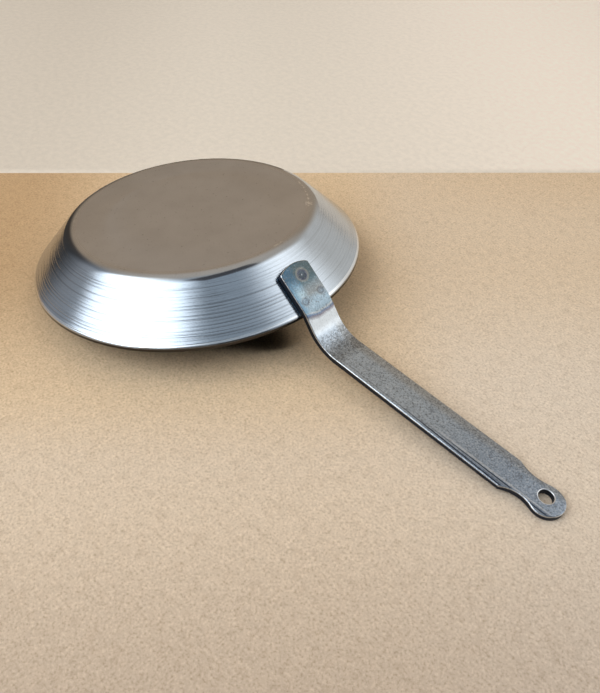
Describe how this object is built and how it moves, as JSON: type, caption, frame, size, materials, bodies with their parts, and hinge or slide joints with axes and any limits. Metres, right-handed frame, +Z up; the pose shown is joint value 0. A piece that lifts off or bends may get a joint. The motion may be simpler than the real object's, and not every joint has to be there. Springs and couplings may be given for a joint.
{
  "type": "omelette pan",
  "caption": "Shallow round steel pan with a flat base, sloping walls and a flat strip handle spot welded to the wall, with a hanging hole, resting upside down.",
  "frame": {"origin": "centre of the bounding box at table height, with the pan upside down on the table", "axes": "+X along the handle, from the pan towards the hanging hole; +Z up, away from the table; +Y to the left when looking along +X"},
  "size_m": [0.4266, 0.24, 0.0595],
  "materials": {
    "pan_steel": "satin base, wall turned with fine rings",
    "handle_steel": "grey mill surface with fine grain, heat tint at the tab",
    "weld_steel": "dark fused metal"
  },
  "bodies": {
    "root": {"pan_body": "pan_steel", "handle": "handle_steel", "weld_top_spot": "weld_steel", "weld_left_spot": "weld_steel", "weld_right_spot": "weld_steel"}
  },
  "joints": []
}
